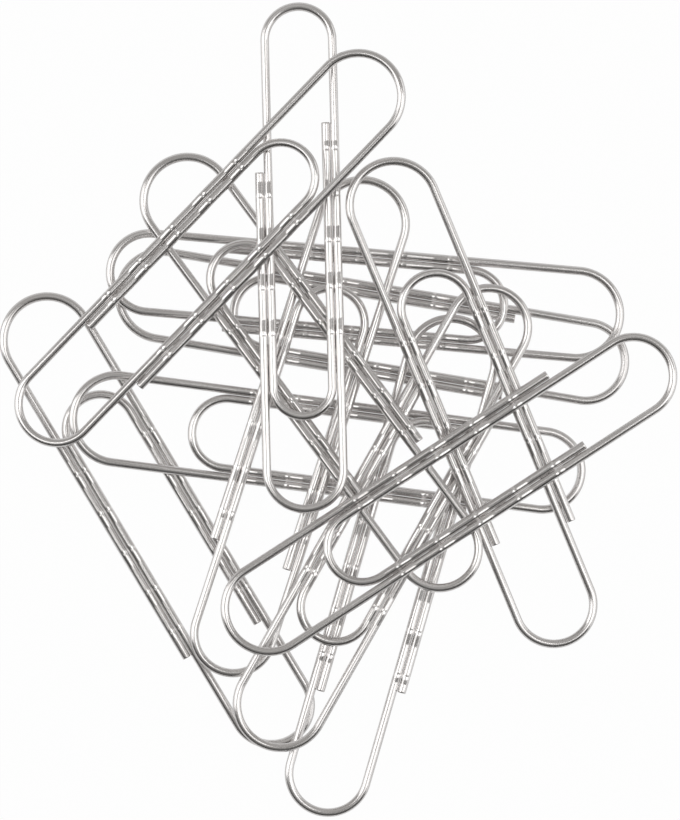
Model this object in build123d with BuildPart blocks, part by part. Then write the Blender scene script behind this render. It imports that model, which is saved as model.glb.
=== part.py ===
from build123d import *
import math
import os

import numpy as np
from scipy.optimize import linprog
from scipy.spatial import cKDTree

# A loose heap of wavy wire paper clips. Each clip is one bent wire. Millimetres, +Z up, floor at z = 0,
# +Y towards the heap's far end. The clips are listed from the bottom of the heap to its top.

# Wire, drawn with few sides because every clip repeats it
wire_diameter = 1.25
wire_sides = 6
bend_runs = 16

# One clip: length and width over the outside of its wire, setbacks from the nearer bend's centre line
clip_length = 76.0
clip_width = 14.0
leg_gap = 0.05
tongue_setback = 17.0
end_setback = 17.0

# Wave pressed into the four legs, its crests at equal steps from the large bend. Past a crest it falls in a
# third of a step and rises in the rest.
crest_count = 5
first_crest = 25.5
crest_pitch = 6.7
crest_height = 0.12
fall_share = 0.33

# Heap
stack_clearance = 0.06
sample_step = 0.25
settling_rounds = 4
face_up = 1
face_down = -1

# Middle x, middle y, heading of the small bend in degrees, which face is up, tongue setback, and how much
# shorter and narrower than the others the clip is
places = [
    (4.5, 11.5, -9.5, face_down, 17.0, 0.0),
    (-27.0, -16.5, -59.0, face_down, 16.5, 0.0),
    (-2.0, -5.5, -7.5, face_down, 17.5, 0.0),
    (3.5, 16.5, 175.0, face_up, 17.0, 0.0),
    (-6.5, -2.5, -108.0, face_down, 16.5, 0.0),
    (7.5, -23.0, -106.0, face_up, 15.5, 0.0),
    (6.5, -16.0, 60.5, face_down, 17.5, 0.0),
    (19.5, 1.0, -67.5, face_up, 17.5, 0.0),
    (-4.0, 5.5, -53.5, face_up, 15.5, 0.0),
    (-6.0, 22.0, 91.5, face_up, 13.5, 1.6),
    (-19.0, 23.0, 226.0, face_up, 17.5, 0.0),
    (15.5, -12.0, 33.0, face_up, 17.5, 0.0),
]

# Centre lines of the wire
leg_pitch = wire_diameter + leg_gap
towards_large = -1
towards_small = 1

# Turns of the wave from the large bend's centre line: where it starts, crests and troughs, where it ends
crests = [first_crest + crest_pitch * step for step in range(crest_count)]
troughs = [crest + fall_share * crest_pitch for crest in crests[:-1]]
wave_start = crests[0] - (1 - fall_share) / 2 * crest_pitch
wave_end = crests[-1] + fall_share / 2 * crest_pitch
wave_turns = [wave_start] + sorted(crests + troughs) + [wave_end]
wave_heights = [0.0] + [crest_height, -crest_height] * (crest_count - 1) + [crest_height, 0.0]


def leg(start, end, across, large_apex):
    """Points of a leg from start to end along the clip: straight runs that turn at crests and troughs."""
    turns = [large_apex + turn for turn in wave_turns]
    inside = [turn for turn in turns if min(start, end) < turn < max(start, end)]
    stops = sorted([start, end] + inside, reverse=start > end)
    return [(stop, across, float(np.interp(stop, turns, wave_heights))) for stop in stops]


def bend(centre, start, end, way):
    """Points between the ends of a half-turn from start to end across the clip, bulging the given way."""
    radius = (start - end) / 2
    turns = [math.pi * run / bend_runs for run in range(1, bend_runs)]
    return [
        (centre + way * abs(radius) * math.sin(turn), end + radius + radius * math.cos(turn), 0.0)
        for turn in turns
    ]


def bent_wire(face, tongue, smaller):
    """Centre line of one clip: outer leg, large bend, long leg, small bend, and the tongue's two legs.

    Clips of one size take the same length of wire, so a longer tongue leaves a shorter outer leg.
    """
    large_radius = (clip_width - smaller - wire_diameter) / 2
    small_radius = large_radius - leg_pitch / 2
    tongue_radius = large_radius - leg_pitch
    small_apex = (clip_length - smaller - wire_diameter) / 2
    large_apex = -small_apex
    outer_end = small_apex - end_setback + 2 * (tongue - tongue_setback)
    tongue_end = small_apex - end_setback
    large_centre = large_apex + large_radius
    small_centre = small_apex - small_radius
    tongue_centre = large_apex + tongue + tongue_radius
    outer = face * large_radius
    inner = face * tongue_radius
    return [
        *leg(outer_end, large_centre, outer, large_apex),
        *bend(large_centre, outer, -outer, towards_large),
        *leg(large_centre, small_centre, -outer, large_apex),
        *bend(small_centre, -outer, inner, towards_small),
        *leg(small_centre, tongue_centre, inner, large_apex),
        *bend(tongue_centre, inner, -inner, towards_large),
        *leg(tongue_centre, tongue_end, -inner, large_apex),
    ]


def lying_plane(place, rest):
    """Plane of a clip at its place: its x axis runs along the clip, its slopes are those of rest."""
    height, slope_x, slope_y = rest
    heading = math.radians(place[2])
    rise = slope_x * math.cos(heading) + slope_y * math.sin(heading)
    along = (math.cos(heading), math.sin(heading), rise)
    return Plane(origin=(place[0], place[1], height), x_dir=along, z_dir=(-slope_x, -slope_y, 1))


def sample(corners):
    """Points at equal steps along the runs between corners."""
    corners = np.array(corners)
    reached = np.concatenate([[0.0], np.cumsum(np.linalg.norm(np.diff(corners, axis=0), axis=1))])
    steps = np.linspace(0.0, reached[-1], math.ceil(reached[-1] / sample_step))
    return np.column_stack([np.interp(steps, reached, corners[:, axis]) for axis in range(3)])


def in_place(points, plane):
    """Points of a clip's own frame, carried to where the clip lies."""
    axes = np.array([tuple(plane.x_dir), tuple(plane.y_dir), tuple(plane.z_dir)])
    return np.array(tuple(plane.origin)) + points @ axes


def settle(lines):
    """Height and two slopes of each clip at rest, each clip on those listed before it.

    The heap comes to rest where its clips together lie lowest while no wire enters the floor or another
    wire. Two centre-line points less than a wire apart in plan need the rest of that distance in height,
    which is linear in the heights and slopes, so each round solves one linear programme and the next
    round starts from the clips as they then lie.
    """
    spacing = wire_diameter + stack_clearance
    rests = [(spacing * level, 0.0, 0.0) for level in range(len(places))]
    for _ in range(settling_rounds):
        planes = [lying_plane(place, rest) for place, rest in zip(places, rests)]
        points = [in_place(line, plane) for line, plane in zip(lines, planes)]
        bases = [
            np.column_stack([np.ones(len(spot)), spot[:, :2] - place[:2]])
            for spot, place in zip(points, places)
        ]
        above_plane = [spot[:, 2] - base @ rest for spot, base, rest in zip(points, bases, rests)]
        rows = []
        limits = []
        for upper in range(len(places)):
            over_floor = np.zeros((len(points[upper]), *np.shape(rests)))
            over_floor[:, upper] = -bases[upper]
            rows.append(over_floor)
            limits.append(above_plane[upper] - wire_diameter / 2)
            for lower in range(upper):
                near = cKDTree(points[upper][:, :2]).query_ball_tree(cKDTree(points[lower][:, :2]), spacing)
                top = np.repeat(np.arange(len(near)), [len(found) for found in near])
                under = np.array([spot for found in near for spot in found], dtype=int)
                apart = np.linalg.norm(points[upper][top, :2] - points[lower][under, :2], axis=1)
                over_wire = np.zeros((len(top), *np.shape(rests)))
                over_wire[:, upper] = -bases[upper][top]
                over_wire[:, lower] = bases[lower][under]
                rows.append(over_wire)
                rise = np.sqrt(np.maximum(spacing**2 - apart**2, 0))
                limits.append(above_plane[upper][top] - above_plane[lower][under] - rise)
        weights = np.concatenate([base.mean(axis=0) for base in bases])
        pushes = np.concatenate(rows).reshape(-1, len(weights))
        lowest = linprog(weights, A_ub=pushes, b_ub=np.concatenate(limits), bounds=(None, None))
        rests = [tuple(rest) for rest in lowest.x.reshape(np.shape(rests))]
    return rests


def heap_centre(points):
    """Middle of the heap in plan."""
    everything = np.vstack(points)[:, :2]
    return (everything.min(axis=0) + everything.max(axis=0)) / 2


def least_gap(points):
    """Least gap between the wires of any two clips."""
    trees = [cKDTree(spot) for spot in points]
    pairs = [(upper, lower) for upper in range(len(points)) for lower in range(upper)]
    return min(trees[lower].query(points[upper])[0].min() for upper, lower in pairs) - wire_diameter


os.makedirs("parts", exist_ok=True)

wires = [bent_wire(face, tongue, smaller) for x, y, heading, face, tongue, smaller in places]
lines = [sample(wire) for wire in wires]
planes = [lying_plane(place, rest) for place, rest in zip(places, settle(lines))]
settled = [in_place(line, plane) for line, plane in zip(lines, planes)]
centre_x, centre_y = heap_centre(settled)
print(f"least gap between two clips {least_gap(settled):.3f} mm")

for number, (wire, plane) in enumerate(zip(wires, planes), start=1):
    centred = Plane(plane.origin - Vector(centre_x, centre_y), x_dir=plane.x_dir, z_dir=plane.z_dir)
    with BuildPart() as clip:
        with BuildLine(centred) as centre_line:
            Polyline(*wire)
        path = centre_line.wire()
        with BuildSketch(Plane(path @ 0, x_dir=centred.z_dir, z_dir=path % 0)):
            RegularPolygon(wire_diameter / 2, wire_sides)
        sweep(path=path, transition=Transition.RIGHT)
    clip.part.label = f"clip_{number:02d}"
    export_step(clip.part, f"parts/{clip.part.label}.step")
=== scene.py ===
import math

import bpy
import numpy as np
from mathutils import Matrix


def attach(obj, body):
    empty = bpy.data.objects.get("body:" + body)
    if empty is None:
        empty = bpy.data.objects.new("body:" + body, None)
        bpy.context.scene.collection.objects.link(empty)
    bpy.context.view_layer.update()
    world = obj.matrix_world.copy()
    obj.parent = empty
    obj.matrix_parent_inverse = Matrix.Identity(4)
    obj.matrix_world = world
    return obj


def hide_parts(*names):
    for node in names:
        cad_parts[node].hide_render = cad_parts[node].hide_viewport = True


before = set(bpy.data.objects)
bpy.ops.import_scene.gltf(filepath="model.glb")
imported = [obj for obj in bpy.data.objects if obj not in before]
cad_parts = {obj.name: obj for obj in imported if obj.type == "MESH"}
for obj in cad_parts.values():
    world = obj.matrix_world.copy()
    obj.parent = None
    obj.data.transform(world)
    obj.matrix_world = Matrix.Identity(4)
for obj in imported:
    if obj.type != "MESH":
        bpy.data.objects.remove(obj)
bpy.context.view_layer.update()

# A loose heap of wavy wire paper clips on a pale floor, seen from straight above. Metres.

MM = 0.001

# Round wire: the points of a ring round it stand at equal angles, from its side upwards
WIRE_RADIUS = 0.625 * MM
WIRE_SIDES = 20
RING_ANGLES = np.linspace(0.0, 2 * math.pi, WIRE_SIDES, endpoint=False)
RING_STEP = 0.12 * MM
CUT_EDGE = 0.06 * MM

# One clip: length and width over the outside of its wire, setbacks from the nearer bend's centre line
CLIP_LENGTH = 76.0 * MM
CLIP_WIDTH = 14.0 * MM
LEG_PITCH = 1.3 * MM
TONGUE_SETBACK = 17.0 * MM
END_SETBACK = 17.0 * MM

# Wave pressed into the four legs by a toothed jaw
CREST_COUNT = 5
FIRST_CREST = 25.5 * MM
CREST_PITCH = 6.7 * MM
CREST_HEIGHT = 0.12 * MM
CREST_SHARPNESS = 0.995
TROUGH_SHARPNESS = 0.985
FALL_SHARE = 0.33
TOOTH_WIDTH = 0.2 * MM
TOOTH_DEPTH = 0.06 * MM

FACE_UP = 1
FACE_DOWN = -1

# Heading of the small bend in degrees, which face is up, tongue setback, and how much shorter and narrower
# than the others the clip is, from the bottom of the heap up
CLIPS = {
    "clip_01": (-9.5, FACE_DOWN, 17.0 * MM, 0.0),
    "clip_02": (-59.0, FACE_DOWN, 16.5 * MM, 0.0),
    "clip_03": (-7.5, FACE_DOWN, 17.5 * MM, 0.0),
    "clip_04": (175.0, FACE_UP, 17.0 * MM, 0.0),
    "clip_05": (-108.0, FACE_DOWN, 16.5 * MM, 0.0),
    "clip_06": (-106.0, FACE_UP, 15.5 * MM, 0.0),
    "clip_07": (60.5, FACE_DOWN, 17.5 * MM, 0.0),
    "clip_08": (-67.5, FACE_UP, 17.5 * MM, 0.0),
    "clip_09": (-53.5, FACE_UP, 15.5 * MM, 0.0),
    "clip_10": (91.5, FACE_UP, 13.5 * MM, 1.6 * MM),
    "clip_11": (226.0, FACE_UP, 17.5 * MM, 0.0),
    "clip_12": (33.0, FACE_UP, 17.5 * MM, 0.0),
}
TOWARDS_LARGE = -1
TOWARDS_SMALL = 1

# Plating, from the dark to the bright lines that drawing leaves on the wire
LINE_STRETCH = (3.0, 3.0, 0.05)
DARK_LINE, DARK_TONE = 0.35, (0.665, 0.643, 0.631, 1.0)
BRIGHT_LINE, BRIGHT_TONE = 0.65, (0.866, 0.847, 0.838, 1.0)
LINE_SPREAD = (0.3, 0.7)
LINE_ROUGHNESS = (0.18, 0.26)
LINE_RELIEF = 0.25
LINE_DEPTH = 0.02 * MM
BRUSHED_STRETCH = 0.5

# Plating pressed smooth by a tooth of the jaw: less rough there, and a painted highlight that brightens its
# colour
PAINTED_GLINT_TONE = (0.93, 0.91, 0.9, 1.0)
BURNISHED_ROUGHNESS = -0.03

# Floor, with the shares of white in what the camera and the wires' reflections see of it
FLOOR_REACH = 4.0
FLOOR_GREY = (0.6, 0.6, 0.6, 1.0)
WHITE = (1.0, 1.0, 1.0, 1.0)
SEEN_WHITE = 0.98
MIRRORED_WHITE = 0.55

# Soft lights aimed at the heap: place, width, depth and radiance
SOFT_LIGHTS = {
    "left_panel": ((-0.834, 0.09, 0.36), 0.6, 0.75, 1.15),
    "right_panel": ((0.8, 0.0, 0.22), 1.1, 0.4, 0.95),
    "left_ceiling": ((-0.49, 0.04, 0.766), 0.37, 0.49, 1.6),
    "right_ceiling": ((0.49, -0.08, 0.76), 0.56, 0.87, 1.35),
    "overhead_panel": ((0.125, 0.13, 0.88), 0.11, 0.13, 1.8),
}

# Grey dome: where it brightens towards the far side and overhead, and from which strength to which
DOME_COLOUR = (1.0, 0.985, 0.965, 1.0)
FAR_SIDE = (-0.5, 0.7)
FAR_SIDE_STRENGTH = (0.05, 0.4)
OVERHEAD = (0.4, 1.0)
OVERHEAD_STRENGTH = (0.0, 0.16)

# Camera over the heap, with the photograph's scale
PHOTO_HEIGHT = 820
PHOTO_PIXELS_PER_METRE = 6878
VIEW_MIDDLE = (0.48 * MM, 0.04 * MM, 6.0 * MM)
CAMERA_HEIGHT = 0.9
CAMERA_NEAREST = 0.01
SENSOR = 36.0


def straight_leg(start, end, across):
    """Centre line of a leg: equal steps along the clip from start to end at a fixed distance across it."""
    steps = math.ceil(abs(end - start) / RING_STEP)
    along = np.linspace(start, end, steps, endpoint=False)
    return np.column_stack([along, np.full(steps, across)])


def half_turn(centre, start, end, way):
    """Centre line of a bend: a half circle from start to end across the clip, in equal angles.

    Along the clip it is the radius times the sine of the angle, across it the radius times the cosine.
    """
    radius = (start - end) / 2
    angles = np.linspace(0.0, math.pi, math.ceil(math.pi * abs(radius) / RING_STEP), endpoint=False)
    return np.column_stack(
        [centre + way * abs(radius) * np.sin(angles), end + radius + radius * np.cos(angles)]
    )


def crest_phase(from_large_bend):
    """Steps of the pressed wave since its first crest: whole numbers at the crests."""
    return (from_large_bend - FIRST_CREST) / CREST_PITCH


def pressed_wave(phase):
    """Height of the pressed wave: a zigzag with rounded turns, flat outside its first and last crest.

    The zigzag is the arcsine of a cosine, and a cosine kept under one rounds its turns, the crests less
    than the troughs. The slope that falls from a crest towards the small bend is the shorter one.
    """
    fallen = phase - np.floor(phase)
    turn = np.where(
        fallen < FALL_SHARE, fallen / (2 * FALL_SHARE), 1 - (1 - fallen) / (2 * (1 - FALL_SHARE))
    )
    swing = np.cos(2 * math.pi * turn)
    sharpness = np.where(swing > 0, CREST_SHARPNESS, TROUGH_SHARPNESS)
    zigzag = np.arcsin(sharpness * swing) / sharpness * CREST_SHARPNESS / math.asin(CREST_SHARPNESS)
    first = -(1 - FALL_SHARE) / 2
    last = CREST_COUNT - 1 + FALL_SHARE / 2
    return np.where((phase > first) & (phase < last), CREST_HEIGHT * zigzag, 0.0)


def tooth_mark(phase):
    """How deep the jaw's teeth have marked the wire, 0 to 1: a bell curve at each crest of the wave."""
    nearest = np.clip(np.round(phase), 0, CREST_COUNT - 1)
    return np.exp(-(((phase - nearest) * CREST_PITCH / TOOTH_WIDTH) ** 2))


def bent_wire(face, tongue, smaller):
    """Centre line of one clip in its own plane, and its steps of the pressed wave.

    It runs along the outer leg, the large bend, the long leg, the small bend and the tongue. Clips of one
    size take the same length of wire, so a longer tongue leaves a shorter outer leg.
    """
    large_radius = (CLIP_WIDTH - smaller) / 2 - WIRE_RADIUS
    small_radius = large_radius - LEG_PITCH / 2
    tongue_radius = large_radius - LEG_PITCH
    small_apex = (CLIP_LENGTH - smaller) / 2 - WIRE_RADIUS
    large_apex = -small_apex
    outer_end = small_apex - END_SETBACK + 2 * (tongue - TONGUE_SETBACK)
    tongue_end = small_apex - END_SETBACK
    large_centre = large_apex + large_radius
    small_centre = small_apex - small_radius
    tongue_centre = large_apex + tongue + tongue_radius
    outer = face * large_radius
    inner = face * tongue_radius
    flat = np.vstack(
        [
            straight_leg(outer_end, large_centre, outer),
            half_turn(large_centre, outer, -outer, TOWARDS_LARGE),
            straight_leg(large_centre, small_centre, -outer),
            half_turn(small_centre, -outer, inner, TOWARDS_SMALL),
            straight_leg(small_centre, tongue_centre, inner),
            half_turn(tongue_centre, inner, -inner, TOWARDS_LARGE),
            straight_leg(tongue_centre, tongue_end, -inner),
            [(tongue_end, -inner)],
        ]
    )
    phase = crest_phase(flat[:, 0] - large_apex)
    return np.column_stack([flat, pressed_wave(phase)]), phase


def resting_plane(node):
    """Middle of a clip's CAD node, and the height and two slopes of the plane in which it lies.

    The plane is the least-squares plane through the node's points: its height at the middle plus the
    slopes times the distances from the middle in plan.
    """
    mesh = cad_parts[node].data
    points = np.empty(3 * len(mesh.vertices))
    mesh.vertices.foreach_get("co", points)
    points = points.reshape(-1, 3)
    middle = (points.min(axis=0) + points.max(axis=0)) / 2
    base = np.column_stack([np.ones(len(points)), points[:, :2] - middle[:2]])
    height, slope_x, slope_y = np.linalg.lstsq(base, points[:, 2], rcond=None)[0]
    return middle, height, np.array([slope_x, slope_y])


def clip_axes(heading, slopes):
    """Axes of a clip: along it, which is its heading laid into its plane, across it, and up off the plane."""
    turn = math.radians(heading)
    along = np.array([math.cos(turn), math.sin(turn), 0.0])
    along[2] = slopes @ along[:2]
    along /= np.linalg.norm(along)
    up = np.array([-slopes[0], -slopes[1], 1.0])
    up /= np.linalg.norm(up)
    return np.array([along, np.cross(up, along), up])


def wire_rings(line, up):
    """Rings of a round wire carried along its centre line.

    A ring point is the centre-line point plus the radius times the cosine of its angle to the side and
    the sine of its angle upwards. The two end rings are smaller by the cut edge.
    """
    ahead = np.gradient(line, axis=0)
    ahead /= np.linalg.norm(ahead, axis=1)[:, None]
    side = np.cross(up, ahead)
    side /= np.linalg.norm(side, axis=1)[:, None]
    over = np.cross(ahead, side)
    radius = np.full(len(line), WIRE_RADIUS)
    radius[[0, -1]] -= CUT_EDGE
    rings = side[:, None] * np.cos(RING_ANGLES)[:, None] + over[:, None] * np.sin(RING_ANGLES)[:, None]
    return line[:, None] + radius[:, None, None] * rings


def press_teeth(rings, up, marks):
    """Sink the upper half of the rings under the teeth: the mark times the squared sine of the angle."""
    upper_half = np.maximum(np.sin(RING_ANGLES), 0.0) ** 2
    sunk = TOOTH_DEPTH * marks[:, None] * upper_half
    return rings - sunk[:, :, None] * up


def lay_on_plane(rings, middle, height, slopes):
    """Carry a clip's rings over the middle of its node, its own plane coming to lie in the node's plane."""
    shift = middle - (rings.min(axis=(0, 1)) + rings.max(axis=(0, 1))) / 2
    shift[2] = height + slopes @ (shift - middle)[:2]
    return rings + shift


def wall_corners(count):
    """The four corners of each wall face between count rings: which ring, and how many sides round it."""
    ring, side = np.meshgrid(np.arange(count - 1), np.arange(WIRE_SIDES), indexing="ij")
    on_ring = np.stack([ring, ring, ring + 1, ring + 1], axis=-1).reshape(-1, 4)
    round_ring = np.stack([side, side + 1, side + 1, side], axis=-1).reshape(-1, 4)
    return on_ring, round_ring


def cut_ends(count):
    """Triangles over the two cut ends, each round a middle point that comes after all the rings."""
    rim = np.arange(WIRE_SIDES)
    next_rim = (rim + 1) % WIRE_SIDES
    last = (count - 1) * WIRE_SIDES
    start = np.column_stack([np.full(WIRE_SIDES, count * WIRE_SIDES), next_rim, rim])
    end = np.column_stack([np.full(WIRE_SIDES, count * WIRE_SIDES + 1), last + rim, last + next_rim])
    return np.vstack([start, end])


def wire_mesh(name, rings):
    """Closed tube over the rings: smooth walls from each ring to the next, and two flat cut ends."""
    points = np.vstack([rings.reshape(-1, 3), rings[0].mean(axis=0), rings[-1].mean(axis=0)])
    on_ring, round_ring = wall_corners(len(rings))
    walls = on_ring * WIRE_SIDES + round_ring % WIRE_SIDES
    ends = cut_ends(len(rings))
    mesh = bpy.data.meshes.new(name)
    mesh.from_pydata(points, [], walls.tolist() + ends.tolist())
    mesh.polygons.foreach_set("use_smooth", [True] * len(walls) + [False] * len(ends))
    return mesh


def add_drawn_grain(mesh, reached):
    """Where each point lies in the drawn wire, in wire radii: cosine and sine of its angle, and its reach."""
    grain = np.empty((len(reached), WIRE_SIDES, 3))
    grain[..., 0] = np.cos(RING_ANGLES)
    grain[..., 1] = np.sin(RING_ANGLES)
    grain[..., 2] = reached[:, None] / WIRE_RADIUS
    ends = np.array([(0.0, 0.0, 0.0), (0.0, 0.0, reached[-1] / WIRE_RADIUS)])
    drawn = mesh.attributes.new("drawn_grain", "FLOAT_VECTOR", "POINT")
    drawn.data.foreach_set("vector", np.vstack([grain.reshape(-1, 3), ends]).astype(np.float32).ravel())


def add_tooth_marks(mesh, marks):
    """How deep each point is marked: that of its ring, and nothing at the middles of the cut ends."""
    values = np.concatenate([np.repeat(marks, WIRE_SIDES), [0.0, 0.0]])
    pressed = mesh.attributes.new("tooth_mark", "FLOAT", "POINT")
    pressed.data.foreach_set("value", values.astype(np.float32))


def add_wrapping(mesh, reached):
    """UV map of the wire: once round it, and from its start to its end; a cut end is one spot."""
    on_ring, round_ring = wall_corners(len(reached))
    walls = np.column_stack([round_ring.ravel() / WIRE_SIDES, reached[on_ring.ravel()] / reached[-1]])
    ends = np.full((3 * 2 * WIRE_SIDES, 2), 0.5)
    layer = mesh.uv_layers.new(name="around_wire")
    layer.uv.foreach_set("vector", np.vstack([walls, ends]).astype(np.float32).ravel())


def make_clip(node, heading, face, tongue, smaller, finish):
    """One clip as a closed tube, put where its CAD node lies."""
    own_line, phase = bent_wire(face, tongue, smaller)
    marks = tooth_mark(phase)
    middle, height, slopes = resting_plane(node)
    axes = clip_axes(heading, slopes)
    up = axes[2]
    line = own_line @ axes
    rings = press_teeth(wire_rings(line, up), up, marks)
    mesh = wire_mesh(node, lay_on_plane(rings, middle, height, slopes))
    reached = np.concatenate([[0.0], np.cumsum(np.linalg.norm(np.diff(line, axis=0), axis=1))])
    add_drawn_grain(mesh, reached)
    add_tooth_marks(mesh, marks)
    add_wrapping(mesh, reached)
    mesh.materials.append(finish)
    mesh.update()

    clip = bpy.data.objects.new(node + "_wire", mesh)
    bpy.context.collection.objects.link(clip)
    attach(clip, node)
    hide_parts(node)


def worked_out(tree, operation, *terms):
    """Result of a sum in a node tree, each of its terms a number or another node's output."""
    step = tree.nodes.new("ShaderNodeMath")
    step.operation = operation
    for socket, term in zip(step.inputs, terms):
        if isinstance(term, float):
            socket.default_value = term
        else:
            tree.links.new(term, socket)
    return step.outputs["Value"]


def carried_over(tree, value, taken, given):
    """A node's value carried over evenly from the range it is taken in to the range given."""
    step = tree.nodes.new("ShaderNodeMapRange")
    for socket, limit in zip(("From Min", "From Max", "To Min", "To Max"), (*taken, *given)):
        step.inputs[socket].default_value = limit
    tree.links.new(value, step.inputs["Value"])
    return step.outputs["Result"]


def attribute(tree, name, output):
    """Output of a node that reads one of the wire's own attributes."""
    reader = tree.nodes.new("ShaderNodeAttribute")
    reader.attribute_name = name
    return reader.outputs[output]


def drawn_lines(tree):
    """Lines along the drawn wire: noise stretched far along it."""
    stretch = tree.nodes.new("ShaderNodeMapping")
    stretch.inputs["Scale"].default_value = LINE_STRETCH
    tree.links.new(attribute(tree, "drawn_grain", "Vector"), stretch.inputs["Vector"])
    lines = tree.nodes.new("ShaderNodeTexNoise")
    lines.inputs["Scale"].default_value = 1.0
    lines.inputs["Detail"].default_value = 1.0
    tree.links.new(stretch.outputs["Vector"], lines.inputs["Vector"])
    return lines.outputs["Fac"]


def plated_tone(tree, lines, marks):
    """Colour of the plating: dark to bright with the drawn lines, and brightest in the tooth marks, where a
    highlight is painted in.
    """
    tone = tree.nodes.new("ShaderNodeValToRGB")
    dark, bright = tone.color_ramp.elements
    dark.position, dark.color = DARK_LINE, DARK_TONE
    bright.position, bright.color = BRIGHT_LINE, BRIGHT_TONE
    tree.links.new(lines, tone.inputs["Fac"])
    # Painted highlight: in the tooth marks the colour is mixed towards a pale tone
    painted_glint = tree.nodes.new("ShaderNodeMix")
    painted_glint.data_type = "RGBA"
    painted_glint.inputs["B"].default_value = PAINTED_GLINT_TONE
    tree.links.new(marks, painted_glint.inputs["Factor"])
    tree.links.new(tone.outputs["Color"], painted_glint.inputs["A"])
    return painted_glint.outputs["Result"]


def plated_wire():
    """Bright plating on drawn wire: fine lines along the wire, smooth where the teeth pressed, with a painted
    highlight there.
    """
    finish = bpy.data.materials.new("plated_wire")
    finish.use_nodes = True
    tree = finish.node_tree
    shader = tree.nodes["Principled BSDF"]
    shader.inputs["Metallic"].default_value = 1.0
    shader.inputs["Anisotropic"].default_value = BRUSHED_STRETCH
    tangent = tree.nodes.new("ShaderNodeTangent")
    tangent.direction_type = "UV_MAP"
    tangent.uv_map = "around_wire"
    tree.links.new(tangent.outputs["Tangent"], shader.inputs["Tangent"])

    lines = drawn_lines(tree)
    marks = attribute(tree, "tooth_mark", "Fac")
    tree.links.new(plated_tone(tree, lines, marks), shader.inputs["Base Color"])
    dullness = carried_over(tree, lines, LINE_SPREAD, LINE_ROUGHNESS)
    pressed = worked_out(tree, "MULTIPLY_ADD", marks, BURNISHED_ROUGHNESS, dullness)
    tree.links.new(pressed, shader.inputs["Roughness"])

    relief = tree.nodes.new("ShaderNodeBump")
    relief.inputs["Strength"].default_value = LINE_RELIEF
    relief.inputs["Distance"].default_value = LINE_DEPTH
    tree.links.new(lines, relief.inputs["Height"])
    tree.links.new(relief.outputs["Normal"], shader.inputs["Normal"])
    return finish


def pale_floor():
    """Plain grey, with white added to what the camera and the wires' reflections see of it."""
    finish = bpy.data.materials.new("pale_floor")
    finish.use_nodes = True
    tree = finish.node_tree
    tree.nodes.remove(tree.nodes["Principled BSDF"])
    paper = tree.nodes.new("ShaderNodeBsdfDiffuse")
    paper.inputs["Color"].default_value = FLOOR_GREY
    white = tree.nodes.new("ShaderNodeEmission")
    white.inputs["Color"].default_value = WHITE
    white.inputs["Strength"].default_value = 1.0
    ray = tree.nodes.new("ShaderNodeLightPath").outputs
    seen = worked_out(tree, "MULTIPLY", ray["Is Camera Ray"], SEEN_WHITE)
    bounced = worked_out(tree, "ADD", ray["Is Glossy Ray"], ray["Is Transmission Ray"])
    share = worked_out(tree, "MULTIPLY_ADD", bounced, MIRRORED_WHITE, seen)
    mix = tree.nodes.new("ShaderNodeMixShader")
    tree.links.new(share, mix.inputs["Fac"])
    tree.links.new(paper.outputs["BSDF"], mix.inputs[1])
    tree.links.new(white.outputs["Emission"], mix.inputs[2])
    tree.links.new(mix.outputs["Shader"], tree.nodes["Material Output"].inputs["Surface"])
    return finish


def make_floor():
    """Pale floor, white to the camera but for the heap's soft shadow."""
    left, right, near, far = -FLOOR_REACH, FLOOR_REACH, -FLOOR_REACH, FLOOR_REACH
    mesh = bpy.data.meshes.new("floor")
    corners = [(left, near, 0.0), (right, near, 0.0), (right, far, 0.0), (left, far, 0.0)]
    mesh.from_pydata(corners, [], [(0, 1, 2, 3)])
    mesh.materials.append(pale_floor())
    floor = bpy.data.objects.new("floor", mesh)
    bpy.context.collection.objects.link(floor)


def soft_light(name, place, width, depth, radiance):
    """A rectangular soft light aimed at the heap; its power is radiance times area times pi."""
    lamp = bpy.data.lights.new(name, "AREA")
    lamp.shape = "RECTANGLE"
    lamp.size = width
    lamp.size_y = depth
    lamp.energy = radiance * width * depth * math.pi
    light = bpy.data.objects.new(name, lamp)
    bpy.context.collection.objects.link(light)
    light.location = place
    aim = -light.location
    light.rotation_euler = aim.to_track_quat("-Z", "Y").to_euler()
    light.visible_camera = False


def make_light():
    """Soft lights at both sides of the heap and over it, under a grey dome that darkens to the near side."""
    for name, (place, width, depth, radiance) in SOFT_LIGHTS.items():
        soft_light(name, place, width, depth, radiance)
    world = bpy.data.worlds.new("studio")
    bpy.context.scene.world = world
    world.use_nodes = True
    tree = world.node_tree
    direction = tree.nodes.new("ShaderNodeTexCoord")
    parts = tree.nodes.new("ShaderNodeSeparateXYZ")
    tree.links.new(direction.outputs["Generated"], parts.inputs["Vector"])
    far_side = carried_over(tree, parts.outputs["Y"], FAR_SIDE, FAR_SIDE_STRENGTH)
    overhead = carried_over(tree, parts.outputs["Z"], OVERHEAD, OVERHEAD_STRENGTH)
    dome = tree.nodes["Background"]
    dome.inputs["Color"].default_value = DOME_COLOUR
    tree.links.new(worked_out(tree, "ADD", far_side, overhead), dome.inputs["Strength"])


def make_camera():
    """Camera straight above the heap with the photograph's scale at the heap's middle height."""
    lens = bpy.data.cameras.new("camera")
    lens.sensor_width = SENSOR
    lens.lens = SENSOR * CAMERA_HEIGHT / (PHOTO_HEIGHT / PHOTO_PIXELS_PER_METRE)
    lens.clip_start = CAMERA_NEAREST
    camera = bpy.data.objects.new("camera", lens)
    bpy.context.collection.objects.link(camera)
    camera.location = (VIEW_MIDDLE[0], VIEW_MIDDLE[1], VIEW_MIDDLE[2] + CAMERA_HEIGHT)
    bpy.context.scene.camera = camera


make_camera()
make_floor()
make_light()
wire_finish = plated_wire()
for node, (heading, face, tongue, smaller) in CLIPS.items():
    make_clip(node, heading, face, tongue, smaller, wire_finish)

bpy.context.scene.view_settings.view_transform = "Standard"
